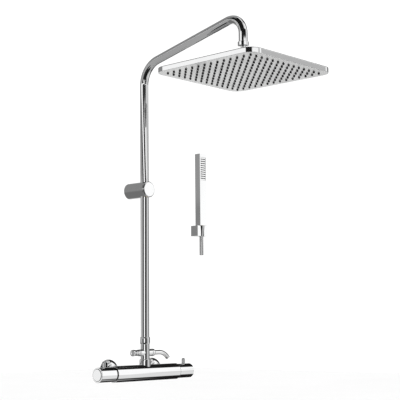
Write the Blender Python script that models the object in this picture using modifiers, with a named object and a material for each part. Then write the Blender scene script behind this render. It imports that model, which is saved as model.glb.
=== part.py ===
"""Rainfall shower column: thermostatic bar mixer, diverter, riser, bent arm, square rain head
on a ball joint, and a hand shower in its own wall holder.

Frame: the origin is the centre of the wall bracket's back face, on the wall plane y = 0.
+X runs along the mixer bar, +Y goes into the wall and +Z is up, so the column stands at -Y.
"""

import math

import bmesh
import bpy
from mathutils import Matrix, Vector

MM = 0.001
GAP = 0.3 * MM  # left between pieces that touch

# Places
WALL_TO_AXIS = 54 * MM  # wall to the axes of the bar and the riser
BAR_DROP = 455 * MM  # bar axis below the bracket
KNEE_RISE = 315 * MM  # riser and arm centrelines meet, above the bracket
CREST_RISE = 390 * MM  # arm and neck centrelines meet
ARM_REACH = 330 * MM  # riser axis to neck axis
BALL_RISE = 283 * MM  # centre of the head's ball joint
HANDSET_X = 248.5 * MM
HANDSET_TO_WALL = 20 * MM
HOLDER_TOP = -73.5 * MM

# Pipes
PIPE_RADIUS = 10.5 * MM
PIPE_BORE = 9 * MM
KNEE_BEND = 60 * MM
CREST_BEND = 38 * MM

# Mixer bar
INLET_SPACING = 150 * MM
INLET_RISE = 7 * MM  # of the wall threads above the bar axis, as the wall unions are eccentric
FLANGE_RADIUS = 27 * MM
FLANGE_MIDDLE = 12 * MM  # radius of its flat middle
BAR_LENGTH = 320 * MM
BODY_LENGTH = 216 * MM
BODY_RADIUS = 20 * MM
BODY_BORE = 15 * MM
HANDLE_RADIUS = 18 * MM
BUTTON_PLACE = 138 * MM  # from the bar's middle
BUTTON_TOP = 32 * MM  # above the bar axis

# Diverter, heights above the bar axis
CROSS_HEIGHT = 49 * MM
DIVERTER_TOP = 76 * MM
RISER_BOTTOM = 78 * MM

# Wall bracket
BRACKET_RADIUS = 20 * MM
BRACKET_DEPTH = 66.5 * MM

# Rain head, heights from the centre of the ball joint
HEAD_SIDE = 300 * MM
HEAD_CORNER = 30 * MM
CORNER_STEPS = 5
HEAD_TOP = -25.5 * MM
PLATE_TOP = -35.8 * MM
PLATE_BOTTOM = -38 * MM
NOZZLE_TIP = -41 * MM
NOZZLES_ACROSS = 14
NOZZLE_PITCH = 19.25 * MM
NOZZLE_RADIUS = 2.5 * MM
NOZZLE_SIDES = 4

# Hand shower
STICK_WIDTH = 26 * MM
STICK_DEPTH = 18 * MM
STICK_LENGTH = 195 * MM
HOLDER_HEIGHT = 28 * MM
TAIL_LENGTH = 48 * MM

TURNS = {
    "+X": (0, math.pi / 2, 0),
    "-X": (0, -math.pi / 2, 0),
    "-Y": (math.pi / 2, 0, 0),
    "+Z": (0, 0, 0),
}

FINISHES = {
    "chrome": ((0.78, 0.79, 0.80), 1.0, 0.06),
    "satin": ((0.72, 0.73, 0.73), 1.0, 0.28),
    "brass": ((0.72, 0.55, 0.28), 1.0, 0.35),
    "steel": ((0.55, 0.56, 0.58), 1.0, 0.35),
    "rubber": ((0.05, 0.05, 0.055), 0.0, 0.75),
    "silicone": ((0.10, 0.10, 0.11), 0.0, 0.6),
    "plastic": ((0.82, 0.82, 0.80), 0.0, 0.5),
    "ceramic": ((0.88, 0.87, 0.84), 0.0, 0.3),
}


# Tools


def collection(name):
    found = bpy.data.collections.new(name)
    bpy.context.scene.collection.children.link(found)
    return found


def clear_scene():
    for obj in list(bpy.data.objects):
        bpy.data.objects.remove(obj, do_unlink=True)


def finish(obj, kind):
    """Give the object its own material, of one of the finishes."""
    colour, metallic, roughness = FINISHES[kind]
    surface = bpy.data.materials.new(obj.name + "_" + kind)
    surface.use_nodes = True
    shader = surface.node_tree.nodes["Principled BSDF"]
    shader.inputs["Base Color"].default_value = (*colour, 1.0)
    shader.inputs["Metallic"].default_value = metallic
    shader.inputs["Roughness"].default_value = roughness
    obj.data.materials.append(surface)


def add_object(name, data, kind, place, turn=(0, 0, 0), parent=None):
    """A part where kind names its finish, or a cutter where kind is None."""
    obj = bpy.data.objects.new(name, data)
    obj.location = place
    obj.rotation_euler = turn
    obj.parent = parent
    if kind is None:
        obj.hide_render = True
        obj.display_type = "WIRE"
        CUTTERS.objects.link(obj)
    else:
        PARTS.objects.link(obj)
        finish(obj, kind)
    return obj


def turned(name, profile, place, axis="+Z", kind="chrome", steps=16, parent=None):
    """A turned piece. Its profile is (radius, height) points, down the outer side and, for a
    ring, back up the bore. A solid piece's profile starts and ends on the axis.
    """
    mesh = bpy.data.meshes.new(name)
    count = len(profile)
    is_ring = profile[0][0] > 0
    edges = [(i, (i + 1) % count) for i in range(count if is_ring else count - 1)]
    mesh.from_pydata([(radius, 0, height) for radius, height in profile], edges, [])
    obj = add_object(name, mesh, kind, place, TURNS[axis], parent)
    screw = obj.modifiers.new("Turn", "SCREW")
    screw.steps = screw.render_steps = steps
    screw.use_merge_vertices = True
    screw.merge_threshold = 0.01 * MM
    screw.use_smooth_shade = False
    return obj


def block(name, size, place, kind=None, bevel=0.0):
    """A box of the given size, centred on place."""
    mesh = bpy.data.meshes.new(name)
    shape = bmesh.new()
    bmesh.ops.create_cube(shape, size=1.0, matrix=Matrix.Diagonal((*size, 1.0)))
    shape.to_mesh(mesh)
    shape.free()
    obj = add_object(name, mesh, kind, place)
    if bevel:
        rounding = obj.modifiers.new("Rounding", "BEVEL")
        rounding.width = bevel
        rounding.segments = 2
    return obj


def field(name, places, radii, bottom, top, sides):
    """A helper of equal tapered studs, one at each (x, y), from radii[0] below to radii[1] above."""
    mesh = bpy.data.meshes.new(name)
    shape = bmesh.new()
    for x, y in places:
        bmesh.ops.create_cone(
            shape,
            cap_ends=True,
            segments=sides,
            radius1=radii[0],
            radius2=radii[1],
            depth=top - bottom,
            matrix=Matrix.Translation((x, y, (top + bottom) / 2)),
        )
    shape.to_mesh(mesh)
    shape.free()
    return mesh


def rod(name, radius, start, end, sides=14):
    """A cylindrical cutter from start to end."""
    start, end = Vector(start), Vector(end)
    mesh = bpy.data.meshes.new(name)
    shape = bmesh.new()
    bmesh.ops.create_cone(
        shape,
        cap_ends=True,
        segments=sides,
        radius1=radius,
        radius2=radius,
        depth=(end - start).length,
    )
    shape.to_mesh(mesh)
    shape.free()
    turn = (end - start).to_track_quat("Z", "Y").to_euler()
    return add_object(name, mesh, None, (start + end) / 2, turn)


def combine(obj, tool, operation="DIFFERENCE"):
    step = obj.modifiers.new(tool.name, "BOOLEAN")
    step.operation = operation
    step.solver = "EXACT"
    step.object = tool


def to_mesh(curve_object):
    """The curve's evaluated surface as a closed mesh, with its caps welded on."""
    bpy.context.view_layer.update()
    graph = bpy.context.evaluated_depsgraph_get()
    mesh = bpy.data.meshes.new_from_object(curve_object.evaluated_get(graph))
    shape = bmesh.new()
    shape.from_mesh(mesh)
    bmesh.ops.remove_doubles(shape, verts=shape.verts, dist=0.01 * MM)
    bmesh.ops.recalc_face_normals(shape, faces=shape.faces)
    shape.to_mesh(mesh)
    shape.free()
    mesh.materials.clear()
    bpy.data.objects.remove(curve_object, do_unlink=True)
    return mesh


def spline_of(name, points, cyclic=False):
    curve = bpy.data.curves.new(name, "CURVE")
    spline = curve.splines.new("POLY")
    spline.points.add(len(points) - 1)
    for slot, point in zip(spline.points, points):
        slot.co = (*point, 1.0)
    spline.use_cyclic_u = cyclic
    return curve


def slab(name, side, corner, bottom, top):
    """The mesh of a square plate with round corners, centred on the z axis."""
    reach = side / 2 - corner
    corners = [(reach, reach), (-reach, reach), (-reach, -reach), (reach, -reach)]
    outline = []
    for quarter, (x, y) in enumerate(corners):
        for step in range(CORNER_STEPS + 1):
            angle = (quarter + step / CORNER_STEPS) * math.pi / 2
            outline.append((x + corner * math.cos(angle), y + corner * math.sin(angle), 0))
    curve = spline_of(name, outline, cyclic=True)
    curve.dimensions = "2D"
    curve.fill_mode = "BOTH"
    curve.extrude = (top - bottom) / 2
    mesh = to_mesh(add_object(name, curve, None, (0, 0, 0)))
    mesh.transform(Matrix.Translation((0, 0, (top + bottom) / 2)))
    return mesh


def tube(name, path, radius, sides):
    """The mesh of a solid round bar along a path, with flat ends."""
    curve = spline_of(name, path)
    curve.dimensions = "3D"
    curve.bevel_depth = radius
    curve.bevel_resolution = (sides - 4) // 2
    curve.use_fill_caps = True
    return to_mesh(add_object(name, curve, None, (0, 0, 0)))


def bend(corner, before, after, radius, steps):
    """Points of the arc that rounds the corner between two straight runs of a path."""
    into = (Vector(corner) - Vector(before)).normalized()
    out = (Vector(after) - Vector(corner)).normalized()
    turn = into.angle(out)
    start = Vector(corner) - into * radius * math.tan(turn / 2)
    inward = (out - into * into.dot(out)).normalized()
    return [
        start
        + into * radius * math.sin(turn * i / steps)
        + inward * radius * (1 - math.cos(turn * i / steps))
        for i in range(steps + 1)
    ]


def hollow(obj, bore_mesh):
    combine(obj, add_object(obj.name + "_bore", bore_mesh, None, obj.location))


def pivot(name, place):
    empty = bpy.data.objects.new(name, None)
    empty.location = place
    empty.empty_display_size = 20 * MM
    PARTS.objects.link(empty)
    return empty


# Mixer bar, along X. Heights are distances from the bar's middle.


BAR_MIDDLE = Vector((0, -WALL_TO_AXIS, -BAR_DROP))


def mixer_body():
    half = BODY_LENGTH / 2
    rim = BODY_RADIUS - 1 * MM
    profile = [
        (rim, half),
        (BODY_RADIUS, half - 1 * MM),
        (BODY_RADIUS, 1 * MM - half),
        (rim, -half),
        (BODY_BORE, -half),
        (BODY_BORE, half),
    ]
    body = turned("mixer_body", profile, BAR_MIDDLE, "+X", steps=24)
    above = BAR_MIDDLE + Vector((0, 0, 30 * MM))
    combine(body, rod("outlet_hole", 9 * MM, BAR_MIDDLE, above))
    for side, x in (("left", -INLET_SPACING / 2), ("right", INLET_SPACING / 2)):
        inner = BAR_MIDDLE + Vector((x, 0, 0))
        outer = BAR_MIDDLE + Vector((x, 30 * MM, 0))
        combine(body, rod("inlet_hole_" + side, 9.9 * MM, inner, outer))


def handle(function, axis, sign):
    """One end of the bar: hollow handle, end cap, screw, cartridge spindle and push button."""
    end = BAR_LENGTH / 2
    near = BODY_LENGTH / 2 + 2 * MM
    cap_seat = end - 4 * MM
    wall = HANDLE_RADIUS - 2.5 * MM
    hub = 7 * MM
    spindle = 4.1 * MM
    spindle_end = end - 11.3 * MM
    shell = [
        (HANDLE_RADIUS - 1.2 * MM, end - 1.2 * MM),
        (HANDLE_RADIUS, end - 2.4 * MM),
        (HANDLE_RADIUS, near),
        (wall, near),
        (wall, end - 14 * MM),
        (hub, end - 14 * MM),
        (hub, end - 30 * MM),
        (spindle + GAP, end - 30 * MM),
        (spindle + GAP, end - 11 * MM),
        (2.4 * MM, end - 11 * MM),
        (2.4 * MM, end - 8 * MM),
        (3.9 * MM, end - 8 * MM),
        (3.9 * MM, cap_seat),
        (14.3 * MM, cap_seat),
        (14.3 * MM, end - 1.2 * MM),
    ]
    cup = turned(function + "_handle", shell, BAR_MIDDLE, axis, steps=18)
    hole_from = BAR_MIDDLE + Vector((sign * BUTTON_PLACE, 0, 13 * MM))
    hole_to = BAR_MIDDLE + Vector((sign * BUTTON_PLACE, 0, 24 * MM))
    combine(cup, rod(function + "_button_hole", 4.8 * MM, hole_from, hole_to, 12))

    cap = [
        (0, end),
        (12.5 * MM, end),
        (14 * MM, end - 1 * MM),
        (14 * MM, cap_seat + GAP),
        (0, cap_seat + GAP),
    ]
    turned(function + "_handle_cap", cap, BAR_MIDDLE, axis, steps=18)

    screw = [
        (0, cap_seat - GAP),
        (3.6 * MM, cap_seat - GAP),
        (3.6 * MM, end - 8 * MM + GAP),
        (2 * MM, end - 8 * MM + GAP),
        (2 * MM, end - 22 * MM),
        (0, end - 22 * MM),
    ]
    turned(function + "_handle_screw", screw, BAR_MIDDLE, axis, "steel", 10)

    stem = [
        (0, end - 24 * MM),
        (2.4 * MM, end - 24 * MM),
        (2.4 * MM, spindle_end),
        (spindle, spindle_end),
        (spindle, 84.5 * MM),
        (0, 84.5 * MM),
    ]
    turned(function + "_spindle", stem, BAR_MIDDLE, axis, "brass", 12)

    button = [
        (0, BUTTON_TOP),
        (2.6 * MM, BUTTON_TOP - 0.6 * MM),
        (4.1 * MM, BUTTON_TOP - 2.4 * MM),
        (4.5 * MM, BUTTON_TOP - 4.5 * MM),
        (4.5 * MM, 13.8 * MM),
        (6 * MM, 13.8 * MM),
        (6 * MM, 12.2 * MM),
        (0, 12.2 * MM),
    ]
    place = BAR_MIDDLE + Vector((sign * BUTTON_PLACE, 0, 0))
    turned(function + "_stop_button", button, place, "+Z", "chrome", 10)


def cartridges():
    """The thermostatic cartridge in the bar's left half and the flow headwork in its right."""
    collar = BODY_BORE - 0.4 * MM
    mouth = BODY_LENGTH / 2 - 2 * MM
    socket = [(0, 84 * MM), (4.6 * MM, 84 * MM), (4.6 * MM, mouth), (collar, mouth)]
    thermostat = socket + [
        (collar, 94 * MM),
        (11 * MM, 94 * MM),
        (11 * MM, 60 * MM),
        (collar, 60 * MM),
        (collar, 34 * MM),
        (0, 34 * MM),
    ]
    turned("thermostatic_cartridge", thermostat, BAR_MIDDLE, "-X", "brass", 12)
    headwork = socket + [(collar, 94 * MM), (10.5 * MM, 94 * MM), (10.5 * MM, 60 * MM), (0, 60 * MM)]
    turned("flow_cartridge", headwork, BAR_MIDDLE, "+X", "brass", 12)


# Inlets, square to the wall. Heights are distances from the wall.


def flange_point(depth, width, angle):
    """(radius, height) on a dome that rises from its rim, at 0 degrees, to its flat middle."""
    turn = math.radians(angle)
    return (FLANGE_MIDDLE + width * math.cos(turn), depth * math.sin(turn))


def inlet(side, x):
    """Eccentric wall union, domed flange, captive nut, washer, tail and check valve of one inlet."""
    place = Vector((x, 0, -BAR_DROP))
    thread_place = place + Vector((0, 0, INLET_RISE))
    bore, thread_radius, collar_radius = 7.5 * MM, 10.4 * MM, 13.2 * MM
    collar_back = 11.5 * MM
    collar_front = 26 * MM
    wall = 1.4 * MM

    collar = [
        (0, collar_front),
        (collar_radius, collar_front),
        (collar_radius, collar_back),
        (0, collar_back),
    ]
    union = turned("wall_union_" + side, collar, place, "-Y", "chrome", 14)
    thread_end = 16.2 * MM
    thread = [(0, thread_end), (thread_radius, thread_end), (thread_radius, 0), (0, 0)]
    combine(union, turned("wall_thread_" + side, thread, thread_place, "-Y", None, 14), "UNION")
    past = Vector((0, 1 * MM, 0))
    thread_bore_end = thread_place - Vector((0, thread_end - wall, 0))
    combine(union, rod("wall_thread_bore_" + side, bore, thread_place + past, thread_bore_end))
    collar_bore_start = place - Vector((0, collar_back + wall, 0))
    collar_bore_end = place - Vector((0, collar_front, 0)) - past
    combine(union, rod("union_collar_bore_" + side, bore, collar_bore_start, collar_bore_end))

    depth = 18 * MM
    width = FLANGE_RADIUS - FLANGE_MIDDLE
    inner = FLANGE_RADIUS - wall
    web_low, web_high = 4 * MM, 5.4 * MM
    hole = thread_radius + GAP
    dome = [flange_point(depth, width, angle) for angle in (90, 67.5, 45, 22.5, 0)]
    inside = [flange_point(depth - wall, width - wall, angle) for angle in (22.5, 45, 67.5, 90)]
    web = [(inner, 0), (inner - 0.2 * MM, web_low), (hole, web_low), (hole, web_high)]
    middle = [(3 * MM, depth - wall), (3 * MM, depth)]
    profile = dome + web + [(inner - 0.6 * MM, web_high)] + inside + middle
    flange = turned("wall_flange_" + side, profile, thread_place, "-Y", "chrome", 20)
    cut_from, cut_to = place - Vector((0, 10.5 * MM, 0)), place - Vector((0, depth, 0)) - past
    combine(flange, rod("flange_mouth_" + side, collar_radius + 0.5 * MM, cut_from, cut_to, 20))

    start, lip, end = 18.8 * MM, 30.5 * MM, 32.5 * MM
    nut_mesh = field("inlet_nut", [(0, 0)], (17.3 * MM, 17.3 * MM), start, end, 6)
    nut = add_object("inlet_nut_" + side, nut_mesh, "chrome", place, TURNS["-Y"])
    bore = [
        (0, end + 1 * MM),
        (10 * MM, end + 1 * MM),
        (10 * MM, lip),
        (13.6 * MM, lip),
        (13.6 * MM, start - 1 * MM),
        (0, start - 1 * MM),
    ]
    combine(nut, turned("inlet_nut_bore_" + side, bore, place, "-Y", None, 14))

    washer = [(13 * MM, 27.9 * MM), (13 * MM, 26.3 * MM), (8 * MM, 26.3 * MM), (8 * MM, 27.9 * MM)]
    turned("inlet_washer_" + side, washer, place, "-Y", "rubber", 12)

    tail = [
        (9.6 * MM, 38.8 * MM),
        (9.6 * MM, 30.2 * MM),
        (13.1 * MM, 30.2 * MM),
        (13.1 * MM, 28.2 * MM),
        (7 * MM, 28.2 * MM),
        (7 * MM, 38.8 * MM),
    ]
    turned("inlet_tail_" + side, tail, place, "-Y", "brass", 14)

    valve = [(6.5 * MM, 37.5 * MM), (6.5 * MM, 29 * MM), (3 * MM, 29 * MM), (3 * MM, 37.5 * MM)]
    turned("check_valve_" + side, valve, place, "-Y", "plastic", 10)


# Diverter tee. Heights are above the bar axis.


def diverter():
    skirt = [
        (13 * MM, 33 * MM),
        (14 * MM, 31.5 * MM),
        (14 * MM, 13 * MM),
        (11.3 * MM, 13 * MM),
        (11.3 * MM, 33 * MM),
    ]
    saddle_skirt = turned("diverter_skirt", skirt, BAR_MIDDLE)
    reach = Vector((30 * MM, 0, 0))
    bar = rod("bar_clearance", BODY_RADIUS + GAP, BAR_MIDDLE - reach, BAR_MIDDLE + reach, 36)
    combine(saddle_skirt, bar)

    nipple = [(8.6 * MM, 33.8 * MM), (8.6 * MM, 15 * MM), (6 * MM, 15 * MM), (6 * MM, 33.8 * MM)]
    turned("diverter_nipple", nipple, BAR_MIDDLE, "+Z", "brass", 12)

    post = [
        (0, DIVERTER_TOP),
        (9.5 * MM, DIVERTER_TOP),
        (9.5 * MM, 70 * MM),
        (11 * MM, 70 * MM),
        (11 * MM, 22 * MM),
        (9 * MM, 22 * MM),
        (9 * MM, 34.1 * MM),
        (0, 34.1 * MM),
    ]
    tee = turned("diverter_body", post, BAR_MIDDLE)
    cross = BAR_MIDDLE + Vector((0, 0, CROSS_HEIGHT))
    arms = [
        (0, 25 * MM),
        (7 * MM, 25 * MM),
        (7 * MM, 20 * MM),
        (8.5 * MM, 20 * MM),
        (8.5 * MM, -20 * MM),
        (0, -20 * MM),
    ]
    combine(tee, turned("diverter_arms", arms, cross, "+X", None, 14), "UNION")
    low = BAR_MIDDLE + Vector((0, 0, 30 * MM))
    high = BAR_MIDDLE + Vector((0, 0, DIVERTER_TOP + 1 * MM))
    combine(tee, rod("diverter_water_bore", 7.5 * MM, low, high, 14))
    combine(tee, rod("diverter_cross_bore", 6.2 * MM, cross - reach, cross + reach, 12))

    seat = [(5.9 * MM, 11.5 * MM), (5.9 * MM, 8.6 * MM), (2.5 * MM, 8.6 * MM), (2.5 * MM, 11.5 * MM)]
    turned("diverter_seat", seat, cross, "+X", "ceramic", 10)

    spindle = [
        (0, 40.7 * MM),
        (3 * MM, 40.7 * MM),
        (3 * MM, -5 * MM),
        (5.8 * MM, -5 * MM),
        (5.8 * MM, -8.2 * MM),
        (0, -8.2 * MM),
    ]
    turned("diverter_spindle", spindle, cross, "-X", "brass", 10)

    gland = [
        (8.2 * MM, 24 * MM),
        (8.2 * MM, 20.3 * MM),
        (5.8 * MM, 20.3 * MM),
        (5.8 * MM, 12 * MM),
        (3.4 * MM, 12 * MM),
        (3.4 * MM, 24 * MM),
    ]
    turned("diverter_gland", gland, cross, "-X", "chrome", 12)

    knob = [
        (0, 45 * MM),
        (6.8 * MM, 45 * MM),
        (8.1 * MM, 43.8 * MM),
        (8.1 * MM, 40 * MM),
        (7.2 * MM, 34 * MM),
        (7.2 * MM, 24.5 * MM),
        (3.4 * MM, 24.5 * MM),
        (3.4 * MM, 41 * MM),
        (0, 41 * MM),
    ]
    turned("diverter_knob", knob, cross, "-X", "chrome", 14)
    hose_outlet(cross)


def hose_outlet(cross):
    """The curved outlet on the tee's right, which the shower hose screws onto."""
    nut = [
        (8.6 * MM, 28 * MM),
        (9.3 * MM, 27.3 * MM),
        (9.3 * MM, 20.3 * MM),
        (7.3 * MM, 20.3 * MM),
        (7.3 * MM, 25.4 * MM),
        (6.1 * MM, 25.4 * MM),
        (6.1 * MM, 28 * MM),
    ]
    turned("hose_outlet_nut", nut, cross, "+X", "chrome", 14)

    start, straight_to = 12 * MM, 50 * MM
    radius, droop = 39 * MM, math.radians(50)
    path = [(start, 0, 0)]
    for i in range(8):
        angle = droop * i / 7
        x = straight_to + radius * math.sin(angle)
        path.append((x, 0, radius * (math.cos(angle) - 1)))
    mesh = tube("hose_outlet_elbow_curve", path, 5.6 * MM, 10)
    elbow = add_object("hose_outlet_elbow", mesh, "chrome", cross)
    along = Vector((math.cos(droop), 0, -math.sin(droop))) * MM
    bore_path = [(start - 1 * MM, 0, 0)] + path[1:-1] + [Vector(path[-1]) + along]
    hollow(elbow, tube("hose_outlet_bore_curve", bore_path, 4.2 * MM, 8))


# Riser, coupling and arm


def riser():
    nut = [
        (11.8 * MM, 87.5 * MM),
        (12.5 * MM, 86 * MM),
        (12.5 * MM, 72 * MM),
        (11.8 * MM, 70.3 * MM),
        (9.9 * MM, 70.3 * MM),
        (9.9 * MM, 76.7 * MM),
        (PIPE_RADIUS + GAP, 76.7 * MM),
        (PIPE_RADIUS + GAP, 87.5 * MM),
    ]
    turned("riser_nut", nut, BAR_MIDDLE)

    seal = [(9.6 * MM, 77.7 * MM), (9.6 * MM, 76.3 * MM), (8 * MM, 76.3 * MM), (8 * MM, 77.7 * MM)]
    turned("riser_seal", seal, BAR_MIDDLE, "+Z", "rubber", 12)

    end = BAR_DROP - 1 * MM
    pipe = [(PIPE_RADIUS, end), (PIPE_RADIUS, RISER_BOTTOM), (PIPE_BORE, RISER_BOTTOM), (PIPE_BORE, end)]
    turned("riser_tube", pipe, BAR_MIDDLE)

    low, high = BAR_DROP - 25 * MM, BAR_DROP + 25 * MM
    sleeve = [(8.5 * MM, high), (8.5 * MM, low), (6.5 * MM, low), (6.5 * MM, high)]
    turned("riser_coupling", sleeve, BAR_MIDDLE, "+Z", "brass", 12)


def arm():
    """The bent pipe from the bracket, up, forward and down to the head's ball joint."""
    foot = Vector((0, -WALL_TO_AXIS, 1 * MM))
    knee = Vector((0, -WALL_TO_AXIS, KNEE_RISE))
    crest = Vector((0, -WALL_TO_AXIS - ARM_REACH, CREST_RISE))
    tip = Vector((0, -WALL_TO_AXIS - ARM_REACH, BALL_RISE + 37.6 * MM))
    bends = bend(knee, foot, crest, KNEE_BEND, 5) + bend(crest, knee, tip, CREST_BEND, 6)
    mesh = tube("arm_curve", [foot] + bends + [tip], PIPE_RADIUS, 12)
    pipe = add_object("arm_tube", mesh, "chrome", (0, 0, 0))
    past = Vector((0, 0, 1 * MM))
    bore_path = [foot - past] + bends + [tip - past]
    hollow(pipe, tube("arm_bore_curve", bore_path, PIPE_BORE, 12))


# Wall bracket. Heights are distances from the wall.


def bracket():
    wall = Vector((0, 0, 0))
    depth = BRACKET_DEPTH
    body = [
        (0, depth),
        (BRACKET_RADIUS - 0.8 * MM, depth),
        (BRACKET_RADIUS, depth - 0.8 * MM),
        (BRACKET_RADIUS, 0),
        (17.4 * MM, 0),
        (17.4 * MM, 8 * MM),
        (0, 8 * MM),
    ]
    clamp = turned("bracket_body", body, wall, "-Y", "chrome", 20)
    axis_point = Vector((0, -WALL_TO_AXIS, 0))
    up = Vector((0, 0, 30 * MM))
    combine(clamp, rod("bracket_pipe_hole", PIPE_RADIUS + 0.4 * MM, axis_point - up, axis_point + up, 16))
    hole_from = axis_point + Vector((8 * MM, 0, 0))
    hole_to = axis_point + Vector((24 * MM, 0, 0))
    combine(clamp, rod("bracket_screw_hole", 2.6 * MM, hole_from, hole_to, 12))

    screw = [(0, 18.5 * MM), (2.2 * MM, 18.5 * MM), (2.2 * MM, 10.9 * MM), (0, 10.9 * MM)]
    turned("bracket_clamp_screw", screw, axis_point, "+X", "steel", 10)

    cap = [
        (0, depth + 5 * MM),
        (17 * MM, depth + 5 * MM),
        (19.4 * MM, depth + 4 * MM),
        (BRACKET_RADIUS, depth + 2.5 * MM),
        (BRACKET_RADIUS, depth + GAP),
        (0, depth + GAP),
    ]
    turned("bracket_cap", cap, wall, "-Y", "chrome", 20)

    disc = [(0, 7.5 * MM), (17 * MM, 7.5 * MM), (17 * MM, 0), (0, 0)]
    plate = turned("bracket_wall_plate", disc, wall, "-Y", "steel", 16)
    for side, x in (("left", -10 * MM), ("right", 10 * MM)):
        hole_from, hole_to = (x, 5 * MM, 0), (x, -12 * MM, 0)
        combine(plate, rod("wall_screw_hole_" + side, 2.6 * MM, hole_from, hole_to, 10))


# Ball joint and rain head. Heights are above the centre of the ball.


def on_sphere(radius, degrees):
    """(radius, height) of a point of a sphere at an angle above its equator."""
    angle = math.radians(degrees)
    return (radius * math.cos(angle), radius * math.sin(angle))


def ball_joint():
    centre = Vector((0, -WALL_TO_AXIS - ARM_REACH, BALL_RISE))
    ball, seat_in, seat_out, socket = 10 * MM, 10.6 * MM, 12.2 * MM, 12.8 * MM
    stem = 6 * MM
    bottom = 6 * MM
    slant = math.degrees(math.acos(stem / ball))
    flat = -math.degrees(math.asin(bottom / ball))
    arc = [on_sphere(ball, slant + (flat - slant) * i / 5) for i in range(6)]
    profile = [
        (8.6 * MM, 57 * MM),
        (8.6 * MM, 37.3 * MM),
        (12.4 * MM, 37.3 * MM),
        (13 * MM, 36.6 * MM),
        (13 * MM, 28 * MM),
        (12 * MM, 27 * MM),
        (stem, 27 * MM),
        *arc,
        (3.5 * MM, -bottom),
        (3.5 * MM, 57 * MM),
    ]
    turned("ball_stem", profile, centre)

    outer = [on_sphere(seat_out, angle) for angle in (-12, -25, -38)]
    inner = [on_sphere(seat_in, angle) for angle in (-38, -25, -12)]
    turned("ball_seat", outer + inner, centre, "+Z", "plastic", 16)
    outer = [on_sphere(seat_out, angle) for angle in (38, 25, 12)]
    inner = [on_sphere(seat_in, angle) for angle in (12, 25, 38)]
    turned("ball_seal", outer + inner, centre, "+Z", "rubber", 16)

    nut = [
        (14.5 * MM, 10.5 * MM),
        (16 * MM, 9 * MM),
        (16 * MM, -12 * MM),
        (14.2 * MM, -12 * MM),
        (14.2 * MM, -1 * MM),
        (socket, -1 * MM),
        *[on_sphere(socket, angle) for angle in (0, 14, 28, 41.4)],
        (10.6 * MM, 10.5 * MM),
    ]
    turned("swivel_nut", nut, centre)

    hub = [
        (13.8 * MM, -1.4 * MM),
        (13.8 * MM, -19 * MM),
        (19 * MM, -20.5 * MM),
        (19 * MM, HEAD_TOP + GAP),
        (8.6 * MM, HEAD_TOP + GAP),
        (8.6 * MM, HEAD_TOP - 1.9 * MM),
        (5 * MM, HEAD_TOP - 1.9 * MM),
        (5 * MM, -12 * MM),
        *[on_sphere(socket, angle) for angle in (-52, -35, -17)],
        (12.7 * MM, -1.4 * MM),
    ]
    turned("head_hub", hub, centre)


def rain_head():
    """Cover, gasket, drilled face plate and one silicone mat that carries every nozzle."""
    centre = pivot("head_pivot", (0, -WALL_TO_AXIS - ARM_REACH, BALL_RISE))
    half_row = (NOZZLES_ACROSS - 1) / 2
    row = [(i - half_row) * NOZZLE_PITCH for i in range(NOZZLES_ACROSS)]
    grid = [(x, y) for x in row for y in row]
    skin = 1.5 * MM

    shell = slab("cover_outline", HEAD_SIDE, HEAD_CORNER, PLATE_BOTTOM, HEAD_TOP)
    cover = add_object("head_cover", shell, "chrome", (0, 0, 0), parent=centre)
    pocket_top = HEAD_TOP - skin
    pocket = slab(
        "pocket_outline", HEAD_SIDE - 2 * skin, HEAD_CORNER - skin, PLATE_BOTTOM - skin, pocket_top
    )
    combine(cover, add_object("cover_pocket", pocket, None, (0, 0, 0), parent=centre))
    hole = field("cover_hole_mesh", [(0, 0)], (9 * MM, 9 * MM), pocket_top - skin, HEAD_TOP + skin, 18)
    combine(cover, add_object("cover_hole", hole, None, (0, 0, 0), parent=centre))

    inset = skin + GAP
    flat = slab(
        "plate_outline", HEAD_SIDE - 2 * inset, HEAD_CORNER - inset, PLATE_BOTTOM, PLATE_TOP
    )
    plate = add_object("head_face_plate", flat, "satin", (0, 0, 0), parent=centre)
    drill = NOZZLE_RADIUS + 0.45 * MM
    holes = field(
        "nozzle_hole_mesh", grid, (drill, drill), PLATE_BOTTOM - skin, PLATE_TOP + skin, NOZZLE_SIDES
    )
    combine(plate, add_object("nozzle_holes", holes, None, (0, 0, 0), parent=centre))

    mat_side = HEAD_SIDE - 16 * MM
    sheet = slab("mat_outline", mat_side, HEAD_CORNER - 8 * MM, PLATE_TOP + GAP, PLATE_TOP + GAP + 1.2 * MM)
    mat = add_object("nozzle_mat", sheet, "silicone", (0, 0, 0), parent=centre)
    studs = field(
        "nozzle_stud_mesh",
        grid,
        (NOZZLE_RADIUS - 0.3 * MM, NOZZLE_RADIUS),
        NOZZLE_TIP,
        PLATE_TOP + GAP + 0.6 * MM,
        NOZZLE_SIDES,
    )
    combine(mat, add_object("nozzle_studs", studs, None, (0, 0, 0), parent=centre), "UNION")

    ring_low, ring_high = PLATE_TOP + GAP, PLATE_TOP + 2.6 * MM
    ring = slab("gasket_outline", HEAD_SIDE - 4 * MM, HEAD_CORNER - 2 * MM, ring_low, ring_high)
    gasket = add_object("head_gasket", ring, "rubber", (0, 0, 0), parent=centre)
    inside, inside_corner = HEAD_SIDE - 12 * MM, HEAD_CORNER - 6 * MM
    window = slab("gasket_hole_outline", inside, inside_corner, ring_low - skin, ring_high + skin)
    combine(gasket, add_object("gasket_window", window, None, (0, 0, 0), parent=centre))


# Hand shower and its wall holder


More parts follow.
